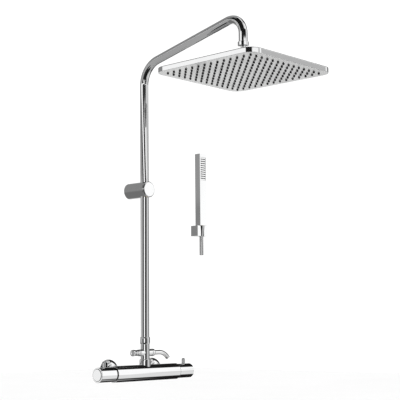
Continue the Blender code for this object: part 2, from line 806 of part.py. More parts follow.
def holder():
    """A forked block on a wall plate. The hose nut's cone sits in its tapered slot."""
    width, depth = 38 * MM, 24.5 * MM
    middle = HOLDER_TOP - HOLDER_HEIGHT / 2
    size = (width, depth, HOLDER_HEIGHT)
    fork = block("holder_block", size, (HANDSET_X, -depth / 2, middle), "chrome", 0.6 * MM)
    axis = (HANDSET_X, -HANDSET_TO_WALL, HOLDER_TOP - HOLDER_HEIGHT)
    slope = 2.8 / 28
    over = 1 * MM
    seat = [
        (0, HOLDER_HEIGHT + over),
        ((9.1 + slope) * MM, HOLDER_HEIGHT + over),
        ((6.3 - slope) * MM, -over),
        (0, -over),
    ]
    combine(fork, turned("holder_seat", seat, axis, "+Z", None, 16))
    slot_depth = depth - HANDSET_TO_WALL + over
    slot = (12.4 * MM, slot_depth, HOLDER_HEIGHT + 2 * over)
    slot_y = -HANDSET_TO_WALL - slot_depth / 2
    combine(fork, block("holder_slot", slot, (HANDSET_X, slot_y, middle)))
    pocket = (24.6 * MM, 10.6 * MM, 20.6 * MM)
    combine(fork, block("holder_plate_pocket", pocket, (HANDSET_X, 0, middle)))
    block("holder_wall_plate", (24 * MM, 5 * MM, 20 * MM), (HANDSET_X, -2.5 * MM, middle), "steel")


def handset():
    """Square stick with a spray face near its top, the hose nut's cone and a stub of hose end."""
    skin = 1.8 * MM
    bottom = HOLDER_TOP + 0.5 * MM
    top = bottom + STICK_LENGTH
    front = -HANDSET_TO_WALL - STICK_DEPTH / 2
    middle = Vector((HANDSET_X, -HANDSET_TO_WALL, (top + bottom) / 2))
    size = (STICK_WIDTH, STICK_DEPTH, STICK_LENGTH)
    stick = block("handset_body", size, middle, "chrome", 1 * MM)
    cavity = (STICK_WIDTH - 2 * skin, STICK_DEPTH - 2 * skin, STICK_LENGTH - 4 * skin)
    combine(stick, block("handset_cavity", cavity, middle))

    face_width, face_height = 21.4 * MM, 62 * MM
    face_middle = top - 10 * MM - face_height / 2
    window = (face_width + 2 * GAP, 6 * MM, face_height + 2 * GAP)
    combine(stick, block("handset_window", window, (HANDSET_X, front, face_middle)))
    low = (HANDSET_X, -HANDSET_TO_WALL, bottom - 2 * MM)
    high = (HANDSET_X, -HANDSET_TO_WALL, bottom + 6 * MM)
    combine(stick, rod("handset_inlet_hole", 6.3 * MM, low, high, 18))

    face_y = front + 1.3 * MM
    face_size = (face_width, 1.6 * MM, face_height)
    face = block("handset_spray_face", face_size, (HANDSET_X, face_y, face_middle), "chrome")
    pad_y = face_y + 1.9 * MM
    pad_size = (face_width, 1.4 * MM, face_height)
    pad = block("handset_nozzle_pad", pad_size, (HANDSET_X, pad_y, face_middle), "silicone")
    rows, pitch = 10, 5.8 * MM
    slot_width, slot_height = 8.6 * MM, 2.4 * MM
    for i in range(rows):
        z = face_middle + (i - (rows - 1) / 2) * pitch
        for side, x in (("left", HANDSET_X - 5 * MM), ("right", HANDSET_X + 5 * MM)):
            name = f"{side}_{i}"
            slot = (slot_width, 4 * MM, slot_height)
            combine(face, block("spray_slot_" + name, slot, (x, face_y, z)))
            rib = (slot_width - 2 * GAP, 2.4 * MM, slot_height - 2 * GAP)
            rib_y = pad_y - 1.6 * MM
            combine(pad, block("spray_rib_" + name, rib, (x, rib_y, z)), "UNION")

    axis = (HANDSET_X, -HANDSET_TO_WALL, HOLDER_TOP - HOLDER_HEIGHT)
    shoulder = HOLDER_HEIGHT - 0.1 * MM
    connector = [
        (5.9 * MM, 39 * MM),
        (5.9 * MM, 13.5 * MM),
        (3.4 * MM, 13.5 * MM),
        (3.4 * MM, 39 * MM),
    ]
    turned("handset_connector", connector, axis, "+Z", "brass", 10)
    cone = [
        (8.7 * MM, shoulder),
        (5.9 * MM, 0),
        (5.9 * MM, -3 * MM),
        (3.7 * MM, -3 * MM),
        (3.7 * MM, 13 * MM),
        (6.3 * MM, 13 * MM),
        (6.3 * MM, shoulder),
    ]
    turned("hose_cone_nut", cone, axis, "+Z", "chrome", 16)
    sleeve_top = -3.3 * MM
    sleeve_bottom = sleeve_top - TAIL_LENGTH
    sleeve = [
        (3.3 * MM, 9 * MM),
        (3.3 * MM, sleeve_top),
        (5.4 * MM, sleeve_top),
        (5.4 * MM, sleeve_bottom),
        (2 * MM, sleeve_bottom),
        (2 * MM, 9 * MM),
    ]
    turned("hose_end_sleeve", sleeve, axis, "+Z", "chrome", 12)


clear_scene()
PARTS = collection("rainfall_shower_column")
CUTTERS = collection("cutters")
CUTTERS.hide_render = True

mixer_body()
handle("temperature", "-X", -1)
handle("flow", "+X", 1)
cartridges()
inlet("left", -INLET_SPACING / 2)
inlet("right", INLET_SPACING / 2)
diverter()
riser()
arm()
bracket()
ball_joint()
rain_head()
holder()
handset()
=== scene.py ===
"""Looks of the rainfall shower column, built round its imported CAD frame.

Frame: the origin is the centre of the wall bracket's back face, +X runs along the mixer bar,
+Y goes into the wall and +Z is up. The places and sizes repeat those of the CAD source.
"""

import math

import bmesh
import bpy
from mathutils import Matrix, Vector


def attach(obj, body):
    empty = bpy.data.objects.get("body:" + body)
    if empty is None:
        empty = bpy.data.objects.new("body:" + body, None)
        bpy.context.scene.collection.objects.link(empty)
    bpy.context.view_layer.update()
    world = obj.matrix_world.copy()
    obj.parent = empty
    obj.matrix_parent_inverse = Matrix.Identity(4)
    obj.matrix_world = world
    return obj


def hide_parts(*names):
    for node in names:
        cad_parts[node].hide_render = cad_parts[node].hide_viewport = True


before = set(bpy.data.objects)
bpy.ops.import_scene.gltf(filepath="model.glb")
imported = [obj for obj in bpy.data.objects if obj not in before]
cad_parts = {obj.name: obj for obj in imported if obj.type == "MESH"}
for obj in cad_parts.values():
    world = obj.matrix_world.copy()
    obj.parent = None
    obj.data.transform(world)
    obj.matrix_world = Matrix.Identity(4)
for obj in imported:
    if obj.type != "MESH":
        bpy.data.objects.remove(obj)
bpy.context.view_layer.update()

MM = 0.001
GAP = 0.3 * MM
SIDES = 96  # of a turned piece
SAME_POINT, NO_LENGTH = 1e-6, 1e-7  # metres

X, Y, Z = Vector((1, 0, 0)), Vector((0, 1, 0)), Vector((0, 0, 1))
AXIS_Y = -54 * MM
BAR = Vector((0, AXIS_Y, -455 * MM))
CROSS = BAR + Z * 49 * MM  # middle of the diverter tee
BALL = Vector((0, AXIS_Y - 330 * MM, 283 * MM))
STICK = Vector((248.5 * MM, -20 * MM, 0))  # axis of the hand shower
HOLDER_TOP, HOLDER_BOTTOM = -73.5 * MM, -101.5 * MM
HOLDER_FRONT = -24.5 * MM
STICK_LENGTH = 195 * MM


# Shapes


def rounded(points):
    """A path or a profile whose corners are rounded: a point is (coordinates, fillet radius)."""
    found = []
    for i, (corner, fillet) in enumerate(points):
        corner = Vector(corner)
        if not fillet:
            found.append(corner)
            continue
        into = (corner - Vector(points[i - 1][0])).normalized()
        out = (Vector(points[(i + 1) % len(points)][0]) - corner).normalized()
        turn = into.angle(out)
        start = corner - into * fillet * math.tan(turn / 2)
        inward = (out - into * into.dot(out)).normalized()
        steps = max(3, math.ceil(math.degrees(turn) / 7.5))
        for step in range(steps + 1):
            angle = turn * step / steps
            along, across = math.sin(angle), 1 - math.cos(angle)
            found.append(start + into * fillet * along + inward * fillet * across)
    return found


def ring(centre, u, v, radius, sides=SIDES):
    angles = [2 * math.pi * i / sides for i in range(sides)]
    return [centre + (u * math.cos(a) + v * math.sin(a)) * radius for a in angles]


def loft(rings, cyclic=False):
    """The quads between each ring of points and the next."""
    quads = []
    pairs = list(zip(rings, rings[1:]))
    if cyclic:
        pairs.append((rings[-1], rings[0]))
    for low, high in pairs:
        count = len(low)
        for i in range(count):
            j = (i + 1) % count
            quads.append((low[i], low[j], high[j], high[i]))
    return quads


def skin(faces):
    """One mesh of the faces, given as points, with equal points merged."""
    points = [point for face in faces for point in face]
    indices, start = [], 0
    for face in faces:
        indices.append(range(start, start + len(face)))
        start += len(face)
    mesh = bpy.data.meshes.new("skin")
    mesh.from_pydata(points, [], indices)
    shape = bmesh.new()
    shape.from_mesh(mesh)
    bmesh.ops.remove_doubles(shape, verts=shape.verts, dist=SAME_POINT)
    bmesh.ops.dissolve_degenerate(shape, edges=shape.edges, dist=NO_LENGTH)
    bmesh.ops.recalc_face_normals(shape, faces=shape.faces)
    shape.to_mesh(mesh)
    shape.free()
    return mesh


def lathe(profile, place, axis, sides=SIDES):
    """A turned mesh. Its profile is (radius, height) or (radius, height, fillet) in millimetres,
    as a loop round the wall of a ring, or from the axis and back to it for a solid piece."""
    corners = [((r * MM, h * MM), (f[0] * MM if f else 0)) for r, h, *f in profile]
    axis = Vector(axis)
    u = axis.orthogonal().normalized()
    v = axis.cross(u)
    rings = [ring(Vector(place) + axis * h, u, v, r, sides) for r, h in rounded(corners)]
    return skin(loft(rings, cyclic=profile[0][0] > 0))


def pipe(path, normal, radius, bore, sides=SIDES):
    """A pipe along a path in the plane of that normal, with square ends."""
    normal = Vector(normal)
    rings = {radius: [], bore: []}
    for i, point in enumerate(path):
        before, after = path[max(i - 1, 0)], path[min(i + 1, len(path) - 1)]
        side = (after - before).normalized().cross(normal)
        for size, found in rings.items():
            found.append(ring(point, normal, side, size, sides))
    return skin(loft(rings[radius] + rings[bore][::-1], cyclic=True))


def box(low, high):
    """A plain box between two corners, for cutting and rounding."""
    shape = bmesh.new()
    size = Vector(high) - Vector(low)
    place = Matrix.Translation((Vector(high) + Vector(low)) / 2)
    bmesh.ops.create_cube(shape, size=1, matrix=place @ Matrix.Diagonal((*size, 1)))
    mesh = bpy.data.meshes.new("box")
    shape.to_mesh(mesh)
    shape.free()
    return mesh


def changed(mesh, kind, **settings):
    """The mesh with one modifier applied."""
    obj = bpy.data.objects.new("work", mesh)
    bpy.context.scene.collection.objects.link(obj)
    step = obj.modifiers.new(kind, kind)
    for name, value in settings.items():
        setattr(step, name, value)
    graph = bpy.context.evaluated_depsgraph_get()
    result = bpy.data.meshes.new_from_object(obj.evaluated_get(graph))
    bpy.data.objects.remove(obj)
    return result


def combined(mesh, tool, operation="DIFFERENCE"):
    obj = bpy.data.objects.new("tool", tool)
    bpy.context.scene.collection.objects.link(obj)
    result = changed(mesh, "BOOLEAN", operation=operation, solver="EXACT", object=obj)
    bpy.data.objects.remove(obj)
    return result


def eased(mesh, width, segments=3):
    """The mesh with its sharp edges rounded."""
    return changed(
        mesh,
        "BEVEL",
        width=width * MM,
        segments=segments,
        limit_method="ANGLE",
        angle_limit=math.radians(35),
        miter_outer="MITER_ARC",
    )


def piece(name, mesh, finish, body, *nodes):
    """A shown piece, which rides on a body and stands for CAD nodes. finish is (slot, material)."""
    mesh.materials.clear()
    mesh.materials.append(finish[1])
    mesh.shade_smooth()
    mesh.set_sharp_from_angle(angle=math.radians(32))
    obj = bpy.data.objects.new(name, mesh)
    bpy.context.scene.collection.objects.link(obj)
    even = obj.modifiers.new("Even", "WEIGHTED_NORMAL")
    even.keep_sharp = True
    even.weight = 100
    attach(obj, body)
    if nodes:
        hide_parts(*nodes)
    return obj


# Finishes


class Finish:
    """A material under construction: a Principled shader fed by noise in object space."""

    def __init__(self, name, metallic, **sockets):
        self.material = bpy.data.materials.new(name)
        self.material.use_nodes = True
        self.nodes = self.material.node_tree.nodes
        self.links = self.material.node_tree.links
        self.shader = self.nodes["Principled BSDF"]
        self.shader.inputs["Metallic"].default_value = metallic
        for socket, value in sockets.items():
            self.shader.inputs[socket.replace("_", " ")].default_value = value
        self.coordinates = self.nodes.new("ShaderNodeTexCoord")

    def noise(self, size, stretch=(1, 1, 1), detail=4.0, rough=0.55, twist=0.0):
        """Noise whose features measure about size millimetres, longer along a small stretch."""
        place = self.nodes.new("ShaderNodeMapping")
        place.inputs["Scale"].default_value = [s / (size * MM) for s in stretch]
        grain = self.nodes.new("ShaderNodeTexNoise")
        grain.inputs["Scale"].default_value = 1
        grain.inputs["Detail"].default_value = detail
        grain.inputs["Roughness"].default_value = rough
        grain.inputs["Distortion"].default_value = twist
        self.links.new(self.coordinates.outputs["Object"], place.inputs["Vector"])
        self.links.new(place.outputs["Vector"], grain.inputs["Vector"])
        return grain.outputs["Fac"]

    def spread(self, source, low, high, start=0.3, end=0.7):
        """The source, of start to end, as a number of low to high."""
        node = self.nodes.new("ShaderNodeMapRange")
        for socket, value in (
            ("From Min", start),
            ("From Max", end),
            ("To Min", low),
            ("To Max", high),
        ):
            node.inputs[socket].default_value = value
        self.links.new(source, node.inputs["Value"])
        return node.outputs["Result"]

    def mixed(self, operation, a, b):
        node = self.nodes.new("ShaderNodeMath")
        node.operation = operation
        self.links.new(a, node.inputs[0])
        self.links.new(b, node.inputs[1])
        return node.outputs["Value"]

    def colour(self, source, *stops):
        """The base colour: stops are (place, colour) along the source."""
        ramp = self.nodes.new("ShaderNodeValToRGB")
        marks = ramp.color_ramp.elements
        for mark, (place, shade) in zip([marks[0], marks[1]], stops):
            mark.position, mark.color = place, (*shade, 1)
        for place, shade in stops[2:]:
            marks.new(place).color = (*shade, 1)
        self.links.new(source, ramp.inputs["Fac"])
        self.links.new(ramp.outputs["Color"], self.shader.inputs["Base Color"])

    def roughness(self, source):
        self.links.new(source, self.shader.inputs["Roughness"])

    def bump(self, source, depth, strength=1.0):
        """Relief of that depth in millimetres."""
        node = self.nodes.new("ShaderNodeBump")
        node.inputs["Distance"].default_value = depth * MM
        node.inputs["Strength"].default_value = strength
        self.links.new(source, node.inputs["Height"])
        self.links.new(node.outputs["Normal"], self.shader.inputs["Normal"])


def chrome():
    """Polished plate: hardly any haze, faint wiping smears and a trace of orange peel."""
    made = Finish("polished_chrome", 1.0)
    smear = made.noise(60, (1, 1, 0.35), detail=6, rough=0.6, twist=0.6)
    speck = made.noise(1.6, detail=2)
    haze = made.spread(smear, 0.015, 0.05)
    dust = made.spread(speck, 0.0, 0.03, 0.6, 0.8)
    made.roughness(made.mixed("ADD", haze, dust))
    made.colour(smear, (0.25, (0.86, 0.865, 0.87)), (0.75, (0.92, 0.925, 0.925)))
    made.bump(made.noise(14, detail=1), 0.004, 0.6)
    return made.material


def satin():
    """Fine satin metal of the spray plate, with a short grain along the bar's direction."""
    made = Finish("satin_metal", 1.0)
    grain = made.noise(0.7, (0.06, 1, 1), detail=3)
    cloud = made.noise(45, detail=5)
    made.roughness(made.mixed("ADD", made.spread(grain, 0.2, 0.3), made.spread(cloud, 0.0, 0.06)))
    made.colour(cloud, (0.3, (0.80, 0.805, 0.80)), (0.7, (0.88, 0.885, 0.88)))
    made.bump(grain, 0.006, 0.4)
    return made.material


def silicone():
    """Dark rubbery silicone with a dull bloom and fine pores."""
    made = Finish("dark_silicone", 0.0, Sheen_Weight=0.15)
    bloom = made.noise(9, detail=5)
    pores = made.noise(0.4, detail=2)
    made.colour(bloom, (0.3, (0.006, 0.006, 0.007)), (0.75, (0.022, 0.022, 0.024)))
    made.roughness(made.spread(pores, 0.42, 0.62))
    made.bump(pores, 0.02, 0.5)
    return made.material


def brass():
    made = Finish("turned_brass", 1.0)
    tarnish = made.noise(12, detail=6)
    made.colour(
        tarnish, (0.25, (0.46, 0.31, 0.12)), (0.55, (0.72, 0.54, 0.25)), (0.8, (0.82, 0.66, 0.36))
    )
    marks = made.noise(0.5, detail=2)
    made.roughness(made.spread(marks, 0.24, 0.42))
    made.bump(marks, 0.01, 0.5)
    return made.material


def steel():
    made = Finish("brushed_steel", 1.0)
    grain = made.noise(0.8, (0.05, 1, 1), detail=4)
    patch = made.noise(20, detail=4)
    made.colour(patch, (0.3, (0.50, 0.51, 0.52)), (0.7, (0.62, 0.63, 0.64)))
    made.roughness(made.spread(grain, 0.25, 0.45))
    made.bump(grain, 0.01, 0.5)
    return made.material


def rubber():
    made = Finish("black_rubber", 0.0)
    dust = made.noise(5, detail=5)
    pores = made.noise(0.5, detail=3)
    made.colour(dust, (0.35, (0.012, 0.012, 0.013)), (0.8, (0.045, 0.044, 0.042)))
    made.roughness(made.spread(pores, 0.6, 0.85))
    made.bump(pores, 0.03, 0.5)
    return made.material


def plastic():
    made = Finish("white_plastic", 0.0)
    tone = made.noise(15, detail=4)
    orange_peel = made.noise(0.9, detail=2)
    made.colour(tone, (0.3, (0.74, 0.735, 0.71)), (0.7, (0.83, 0.825, 0.80)))
    made.roughness(made.spread(orange_peel, 0.32, 0.46))
    made.bump(orange_peel, 0.01, 0.4)
    return made.material


def ceramic():
    made = Finish("fired_ceramic", 0.0, Coat_Weight=0.3)
    tone = made.noise(6, detail=6)
    made.colour(tone, (0.35, (0.80, 0.78, 0.72)), (0.7, (0.90, 0.885, 0.85)))
    made.roughness(made.spread(made.noise(0.6), 0.16, 0.28))
    made.bump(tone, 0.01, 0.4)
    return made.material


CHROME = ("chrome", chrome())
SATIN = ("satin_face", satin())
SILICONE = ("silicone", silicone())
BRASS = ("brass", brass())
STEEL = ("stainless", steel())
RUBBER = ("rubber", rubber())
PLASTIC = ("white_plastic", plastic())
CERAMIC = ("ceramic", ceramic())


# Mixer bar. Heights are distances from the bar's middle, in millimetres.


def mixer_bar():
    shell = [(20, 108, 0.9), (20, -108, 0.9), (15.1, -108, 0.5), (15.1, 108, 0.5)]
    mesh = lathe(shell, BAR, X, 144)
    holes = [(BAR, Z, 9)] + [(BAR + X * x * MM, Y, 9.9) for x in (-75, 75)]
    for place, axis, radius in holes:
        mesh = combined(mesh, lathe([(0, 0), (radius, 0), (radius, 30), (0, 30)], place, axis, 64))
    piece("mixer_shell", mesh, CHROME, "column", "mixer_body")


def handle(function, sign):
    """Handle, end cap, screw and push button of one end."""
    axis = X * sign
    name = function + "_handle"
    cup = [
        (15.6, 158.8, 0.5),
        (18, 158.8, 0.6),
        (18, 110, 0.7),
        (15.5, 110, 0.4),
        (15.5, 146),
        (7, 146),
        (7, 130),
        (4.4, 130),
        (4.4, 149),
        (2.4, 149),
        (2.4, 152),
        (3.9, 152),
        (3.9, 156),
        (14.3, 156),
        (14.3, 158, 0.3),
        (15.0, 158.8, 0.3),
    ]
    mesh = lathe(cup, BAR, axis, 128)
    place = BAR + axis * 138 * MM
    mesh = combined(mesh, lathe([(0, 13), (4.8, 13), (4.8, 24), (0, 24)], place, Z, 48))
    piece(name + "_shell", mesh, CHROME, name, name)
    cap = [(0, 160), (14, 160, 0.3), (14, 156.3), (0, 156.3)]
    piece(name + "_end_cap", lathe(cap, BAR, axis), CHROME, name, name + "_cap")
    button = [(0, 32), (4.5, 32, 3.2), (4.5, 13.8), (6, 13.8), (6, 12.2), (0, 12.2)]
    piece(
        function + "_push_pin",
        lathe(button, place, Z, 64),
        CHROME,
        function + "_button",
        function + "_stop_button",
    )


INLET_RISE = 7 * MM  # of the wall threads above the bar axis


def inlet(side, x):
    """Flange, captive nut and eccentric wall union of one inlet. Heights are from the wall."""
    place, axis = Vector((x * MM, 0, BAR.z)), -Y
    thread_place = place + Z * INLET_RISE
    dome = [
        (12 + 15 * math.cos(math.radians(a)), 18 * math.sin(math.radians(a)))
        for a in range(90, -1, -5)
    ]
    inner_dome = [
        (12 + 13.6 * math.cos(math.radians(a)), 16.6 * math.sin(math.radians(a)))
        for a in range(20, 91, 10)
    ]
    web = [(25.6, 0), (25.4, 4), (10.7, 4), (10.7, 5.4), (25, 5.4)]
    flange = lathe(dome + web + inner_dome + [(3, 16.6), (3, 18)], thread_place, axis)
    mouth = lathe([(0, 10.5), (13.7, 10.5), (13.7, 20), (0, 20)], place, axis)
    flange = eased(combined(flange, mouth), 0.25, 2)
    piece("flange_" + side, flange, CHROME, "column", "wall_flange_" + side)

    hexagon = lathe([(0, 18.8), (17.3, 18.8), (17.3, 32.5), (0, 32.5)], place, axis, 6)
    turned = [(0, 18.8), (15, 18.8), (17.3, 20), (17.3, 31.3), (15, 32.5), (0, 32.5)]
    nut = combined(hexagon, lathe(turned, place, axis, 72), "INTERSECT")
    bore = [(0, 33.5), (10, 33.5), (10, 30.5), (13.6, 30.5), (13.6, 17.8), (0, 17.8)]
    nut = combined(nut, lathe(bore, place, axis, 72))
    piece("captive_nut_" + side, eased(nut, 0.25), CHROME, "column", "inlet_nut_" + side)

    collar = lathe([(0, 26), (13.2, 26, 0.4), (13.2, 11.5, 0.8), (0, 11.5)], place, axis, 72)
    thread = []
    for turn in range(5):
        low = 1.2 + 1.814 * turn
        thread += [(9.5, low), (10.4, low + 0.75), (10.4, low + 0.95), (9.5, low + 1.7)]
    stem = [(0, 16.2), (10, 16.2, 0.6), (10, 11.2, 0.3)] + thread[::-1] + [(9.3, 0, 0.3), (0, 0)]
    union = combined(collar, lathe(stem, thread_place, axis, 72), "UNION")
    for centre, low, high in ((thread_place, -1, 14.8), (place, 12.9, 27)):
        hollow = [(0, low), (7.5, low), (7.5, high), (0, high)]
        union = combined(union, lathe(hollow, centre, axis, 64))
    piece("threaded_union_" + side, union, CHROME, "column", "wall_union_" + side)


# Diverter tee. Heights are above the bar axis, in millimetres.


def diverter():
    skirt = [(11.4, 33, 0.4), (13.6, 33, 1.2), (14, 29), (14, 12), (11.4, 12)]
    bar = [(0, -30), (20.35, -30), (20.35, 30), (0, 30)]
    mesh = combined(lathe(skirt, BAR, Z), lathe(bar, BAR, X, 144))
    piece("saddle_skirt", mesh, CHROME, "column", "diverter_skirt")

    post = [
        (0, 76),
        (9.5, 76, 0.5),
        (9.5, 70.6, 0.4),
        (11, 70.2, 0.8),
        (11, 22, 0.4),
        (9, 22),
        (9, 34.1),
        (0, 34.1),
    ]
    tee = lathe(post, BAR, Z)
    arms = [
        (0, 25),
        (7, 25, 0.4),
        (7, 20, 0.3),
        (8.5, 20, 0.6),
        (8.5, -20, 0.6),
        (0, -20),
    ]
    tee = combined(tee, lathe(arms, CROSS, X), "UNION")
    tee = combined(tee, lathe([(0, 30), (7.5, 30), (7.5, 77), (0, 77)], BAR, Z, 64))
    tee = combined(tee, lathe([(0, -30), (6.2, -30), (6.2, 30), (0, 30)], CROSS, X, 64))
    piece("tee_body", tee, CHROME, "column", "diverter_body")

    gland = [(8.2, 24, 0.5), (8.2, 20.3, 0.4), (5.8, 20.3), (5.8, 12), (3.4, 12), (3.4, 24)]
    piece("gland_ring", lathe(gland, CROSS, -X, 64), CHROME, "column", "diverter_gland")

    knob = [
        (0, 45),
        (4.5, 44.9),
        (7.8, 44.7, 0.9),
        (8.1, 41, 2),
        (7.2, 34, 5),
        (7.0, 29.5, 1),
        (6.5, 29, 0.3),
        (6.5, 28.2, 0.3),
        (7.2, 27.7, 0.3),
        (7.2, 24.5, 0.6),
        (3.4, 24.5),
        (3.4, 41),
        (0, 41),
    ]
    piece("diverter_grip", lathe(knob, CROSS, -X), CHROME, "diverter_knob", "diverter_knob")

    nut = [
        (6.1, 28),
        (8.9, 28, 0.8),
        (9.3, 25.4, 1),
        (9.3, 20.3, 0.5),
        (7.3, 20.3),
        (7.3, 25.4),
        (6.1, 25.4),
    ]
    piece("outlet_nut", lathe(nut, CROSS, X), CHROME, "column", "hose_outlet_nut")
    hose_outlet()


def hose_outlet():
    """The outlet for the hose, a plain tube that bends down."""
    start, straight_to, radius, droop = 12, 50, 39, 50
    angles = [math.radians(droop * i / 26) for i in range(27)]
    path = [CROSS + X * start * MM] + [
        CROSS
        + X * (straight_to + radius * math.sin(a)) * MM
        + Z * radius * (math.cos(a) - 1) * MM
        for a in angles
    ]
    mesh = pipe(path, Y, 5.6 * MM, 4.2 * MM, 64)
    piece("outlet_bend", mesh, CHROME, "column", "hose_outlet_elbow")


# Riser, arm and wall bracket


def riser():
    nut = [
        (10.8, 87.5, 0.3),
        (12.1, 87.5, 1.4),
        (12.5, 84, 3),
        (12.5, 73.5, 3),
        (12, 70.3, 1.2),
        (9.9, 70.3),
        (9.9, 76.7),
        (10.8, 76.7),
    ]
    piece("union_nut", lathe(nut, BAR, Z), CHROME, "column", "riser_nut")
    tube = [(10.5, 454, 0.3), (10.5, 78, 0.3), (9, 78), (9, 454)]
    piece("lower_riser", lathe(tube, BAR, Z, 128), CHROME, "column", "riser_tube")

    foot, knee = Vector((0, AXIS_Y, 1 * MM)), Vector((0, AXIS_Y, 315 * MM))
    crest = Vector((0, BALL.y, 390 * MM))
    tip = BALL + Z * 37.6 * MM
    path = rounded([(foot, 0), (knee, 60 * MM), (crest, 38 * MM), (tip, 0)])
    piece("bent_arm", pipe(path, X, 10.5 * MM, 9 * MM, 128), CHROME, "column", "arm_tube")


def bracket():
    body = [(0, 66.5), (20, 66.5, 0.8), (20, 0, 0.4), (17.4, 0), (17.4, 8), (0, 8)]
    mesh = lathe(body, (0, 0, 0), -Y, 144)
    axis_point = Vector((0, AXIS_Y, 0))
    mesh = combined(mesh, lathe([(0, -30), (10.9, -30), (10.9, 30), (0, 30)], axis_point, Z))
    mesh = combined(mesh, lathe([(0, 8), (2.6, 8), (2.6, 24), (0, 24)], axis_point, X, 48))
    piece("bracket_barrel", mesh, CHROME, "column", "bracket_body")
    cap = [(0, 71.5), (18, 71.4, 1.6), (20, 69.6, 1.4), (20, 66.8, 0.4), (0, 66.8)]
    piece("bracket_front", lathe(cap, (0, 0, 0), -Y, 128), CHROME, "column", "bracket_cap")

    grub = lathe([(0, 18.5), (2.2, 18.5, 0.3), (2.2, 10.9), (0, 10.9)], axis_point, X, 32)
    socket = lathe([(0, 16.3), (1.25, 16.3), (1.25, 19), (0, 19)], axis_point, X, 6)
    piece("grub_screw", combined(grub, socket), STEEL, "column", "bracket_clamp_screw")


# Ball joint and rain head. Heights are above the centre of the ball, in millimetres.


def on_sphere(radius, start, end, steps):
    """Profile points of a sphere, from one angle above its equator to another."""
    angles = [math.radians(start + (end - start) * i / steps) for i in range(steps + 1)]
    return [(radius * math.cos(a), radius * math.sin(a)) for a in angles]


def ball_joint():
    slant, flat = 53.13, -36.87
    stem = [
        (8.6, 57, 0.3),
        (8.6, 37.5),
        (13, 37.3, 0.9),
        (13, 27.2, 0.9),
        (6, 27, 0.8),
        *on_sphere(10, slant, flat, 16),
        (3.5, -6),
        (3.5, 57),
    ]
    piece("collar_and_ball", lathe(stem, BALL, Z), CHROME, "column", "ball_stem")
    nut = [
        (10.6, 10.5, 0.4),
        (16, 10.5, 2.2),
        (16, 2.6, 0.2),
        (15.6, 2.4, 0.2),
        (15.6, 1.4, 0.2),
        (16, 1.2, 0.2),
        (16, -9.0, 0.2),
        (15.6, -9.2, 0.2),
        (15.6, -10.2, 0.2),
        (16, -10.4, 0.2),
        (16, -12, 0.5),
        (14.2, -12),
        (14.2, -1),
        (12.8, -1),
        *on_sphere(12.8, 0, 41.4, 10),
    ]
    piece("joint_nut", lathe(nut, BALL, Z), CHROME, "rain_head", "swivel_nut")
    hub = [
        (13.8, -1.4),
        (13.8, -18, 3),
        (19, -20.6, 1.2),
        (19, -25.2, 0.4),
        (8.6, -25.2),
        (8.6, -27.4),
        (5, -27.4),
        (5, -12),
        *on_sphere(12.8, -52, -17, 8),
        (12.7, -1.4),
    ]
    piece("hub_boss", lathe(hub, BALL, Z), CHROME, "rain_head", "head_hub")


HEAD_SIDE, HEAD_CORNER = 300, 30  # millimetres
NOZZLES, PITCH = 14, 19.25  # on each side, and millimetres between them
CELL_POINTS = 8  # along each side of one nozzle's cell
GRID_POINTS = NOZZLES * CELL_POINTS
ROW = [(i - (NOZZLES - 1) / 2) * PITCH for i in range(NOZZLES)]


def square_ring(half, count, centre=(0, 0)):
    """Points along a square, count to a side, from its +X +Y corner round to -X +Y and on."""
    found = []
    for quarter in range(4):
        turn = Matrix.Rotation(quarter * math.pi / 2, 2)
        for i in range(count):
            found.append(turn @ Vector((half - 2 * half * i / count, half)) + Vector(centre))
    return found


def head_outline(inset):
    """The head's outline as a ring, moved inwards: a square with round corners."""
    half, corner = HEAD_SIDE / 2 - inset, HEAD_CORNER - inset
    reach = half - corner
    found = []
    for point in square_ring(half, GRID_POINTS):
        x, y = point
        if abs(x) > reach and abs(y) > reach:
            middle = Vector((math.copysign(reach, x), math.copysign(reach, y)))
            point = middle + (point - middle).normalized() * corner
        found.append(point)
    return found


def head_ring(flat, height):
    """A flat ring in millimetres as points of the frame, at a height above the ball."""
    return [BALL + Vector((x, y, height)) * MM for x, y in flat]


def edge_arc(radius, height, up):
    """(inset, height) along a rounded edge from a level face to the side wall."""
    return [
        (radius * (1 - math.sin(a)), height + up * radius * (1 - math.cos(a)))
        for a in [math.radians(11.25 * i) for i in range(9)]
    ]


def cells(profile, face, back=None):
    """The faces of every nozzle's cell: a level square, then rings of (radius, height)."""
    faces = []
    for x in ROW:
        for y in ROW:
            edge = square_ring(PITCH / 2, CELL_POINTS, (x, y))
            rings = [head_ring(edge, face)]
            for radius, height in profile:
                around = [
                    Vector((x, y)) + (p - Vector((x, y))).normalized() * radius for p in edge
                ]
                rings.append(head_ring(around, height))
            if back is not None:
                rings.append(head_ring(edge, back))
            faces += loft(rings)
    return faces


